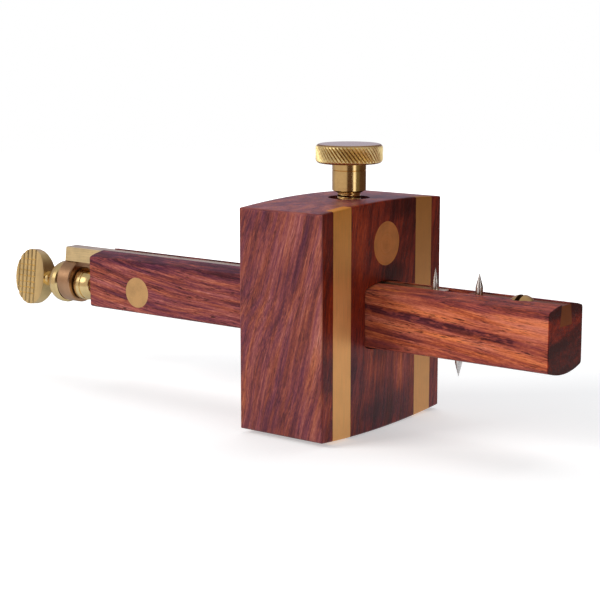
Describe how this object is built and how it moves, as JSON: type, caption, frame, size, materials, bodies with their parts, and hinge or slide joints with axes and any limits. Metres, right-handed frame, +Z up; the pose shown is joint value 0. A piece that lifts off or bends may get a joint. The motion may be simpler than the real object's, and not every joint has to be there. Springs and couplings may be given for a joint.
{
  "type": "combination marking gauge",
  "caption": "Rosewood and brass mortise and marking gauge: a stock with a knurled clamp screw slides on a stem with a screw-driven pin slide.",
  "frame": {"origin": "on the working face of the stock, on its centre line, midway between the stem's opening and the stock's lower end, where the edge of the work bears", "axes": "+X along the stem from the working face towards the pins, +Y across the stem away from the pictured side, +Z up towards the clamp screw and the mortise pins"},
  "size_m": [0.1863, 0.0522, 0.0721],
  "materials": {
    "stock_rosewood": "oiled satin rosewood, dark purple-brown streaks",
    "stem_rosewood": "oiled satin rosewood, grain along the stem",
    "strip_brass": "satin, linished",
    "nut_brass": "satin, faced off flush",
    "pad_brass": "turned",
    "turned_brass": "polished, turned",
    "slide_brass": "satin, drawn bar",
    "eye_brass": "brushed bronze-coloured brass",
    "pin_steel": "ground"
  },
  "bodies": {
    "stock": {"stock": "stock_rosewood", "near_wear_strip": "strip_brass", "far_wear_strip": "strip_brass", "clamp_nut": "nut_brass"},
    "pressure_pad": {"pressure_pad": "pad_brass"},
    "clamp_screw": {"clamp_screw": "turned_brass"},
    "stem": {"stem": "stem_rosewood", "adjuster_nut": "nut_brass", "fixed_strip": "strip_brass", "strip_screw": "turned_brass", "fixed_pin": "pin_steel", "marking_pin": "pin_steel"},
    "slide": {"slide_bar": "slide_brass", "slide_eye": "eye_brass", "slide_pin": "pin_steel"},
    "adjuster_screw": {"adjuster_screw": "turned_brass", "rear_collar": "turned_brass"}
  },
  "joints": [
    {"name": "stem_slide", "type": "slide", "parent": "stock", "child": "stem", "axis": [1, 0, 0], "range_m": [-0.008, 0.066]},
    {"name": "pin_slide", "type": "slide", "parent": "stem", "child": "slide", "axis": [1, 0, 0], "range_m": [-0.006, 0.004]},
    {"name": "adjuster_turn", "type": "hinge", "parent": "slide", "child": "adjuster_screw", "pos_m": [-0.1, 0, 0.01642], "axis": [1, 0, 0], "range_deg": [-2700, 1800]},
    {"name": "pad_lift", "type": "slide", "parent": "stock", "child": "pressure_pad", "axis": [0, 0, 1], "range_m": [0, 0.0014]},
    {"name": "clamp_turn", "type": "hinge", "parent": "pressure_pad", "child": "clamp_screw", "pos_m": [-0.0118, 0.0011, 0.03], "axis": [0, 0, 1], "range_deg": [0, 504]}
  ],
  "couplings": [
    {"joint": "adjuster_turn", "follows": "pin_slide", "rad_per_m": 7854},
    {"joint": "clamp_turn", "follows": "pad_lift", "rad_per_m": 6283.2}
  ]
}
